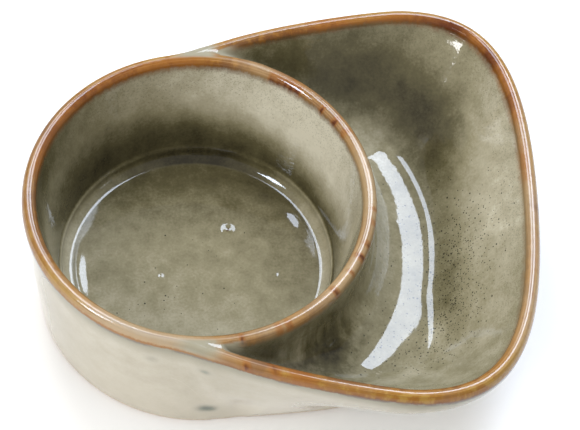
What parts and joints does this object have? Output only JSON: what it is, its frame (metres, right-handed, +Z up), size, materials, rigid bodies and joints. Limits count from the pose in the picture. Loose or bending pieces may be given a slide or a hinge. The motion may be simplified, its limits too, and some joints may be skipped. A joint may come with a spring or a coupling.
{
  "type": "soup and cracker bowl",
  "caption": "Glazed stoneware soup cup with a rounded lip, and a flared cracker tray luted round one side so that soup and crackers share one bowl.",
  "frame": {"origin": "on the table, below the middle of the bowl's length and width", "axes": "+X from the soup cup towards the cracker tray, +Z up, mirror plane at Y = 0"},
  "size_m": [0.189, 0.173, 0.064],
  "materials": {
    "cup_glaze": "glossy olive reactive glaze that breaks amber brown on the rim, pale outside",
    "tray_glaze": "glossy olive reactive glaze with iron speckle that breaks amber brown on the rim, pale outside",
    "junction_glaze": "glossy pale celadon glaze where it pools between the rims",
    "foot_clay": "pale glaze outside, bare buff stoneware underneath"
  },
  "bodies": {
    "root": {"soup_cup": "cup_glaze", "cracker_tray": "tray_glaze", "seam_coil": "tray_glaze", "front_junction": "junction_glaze", "rear_junction": "junction_glaze", "foot_ring": "foot_clay"}
  },
  "joints": []
}
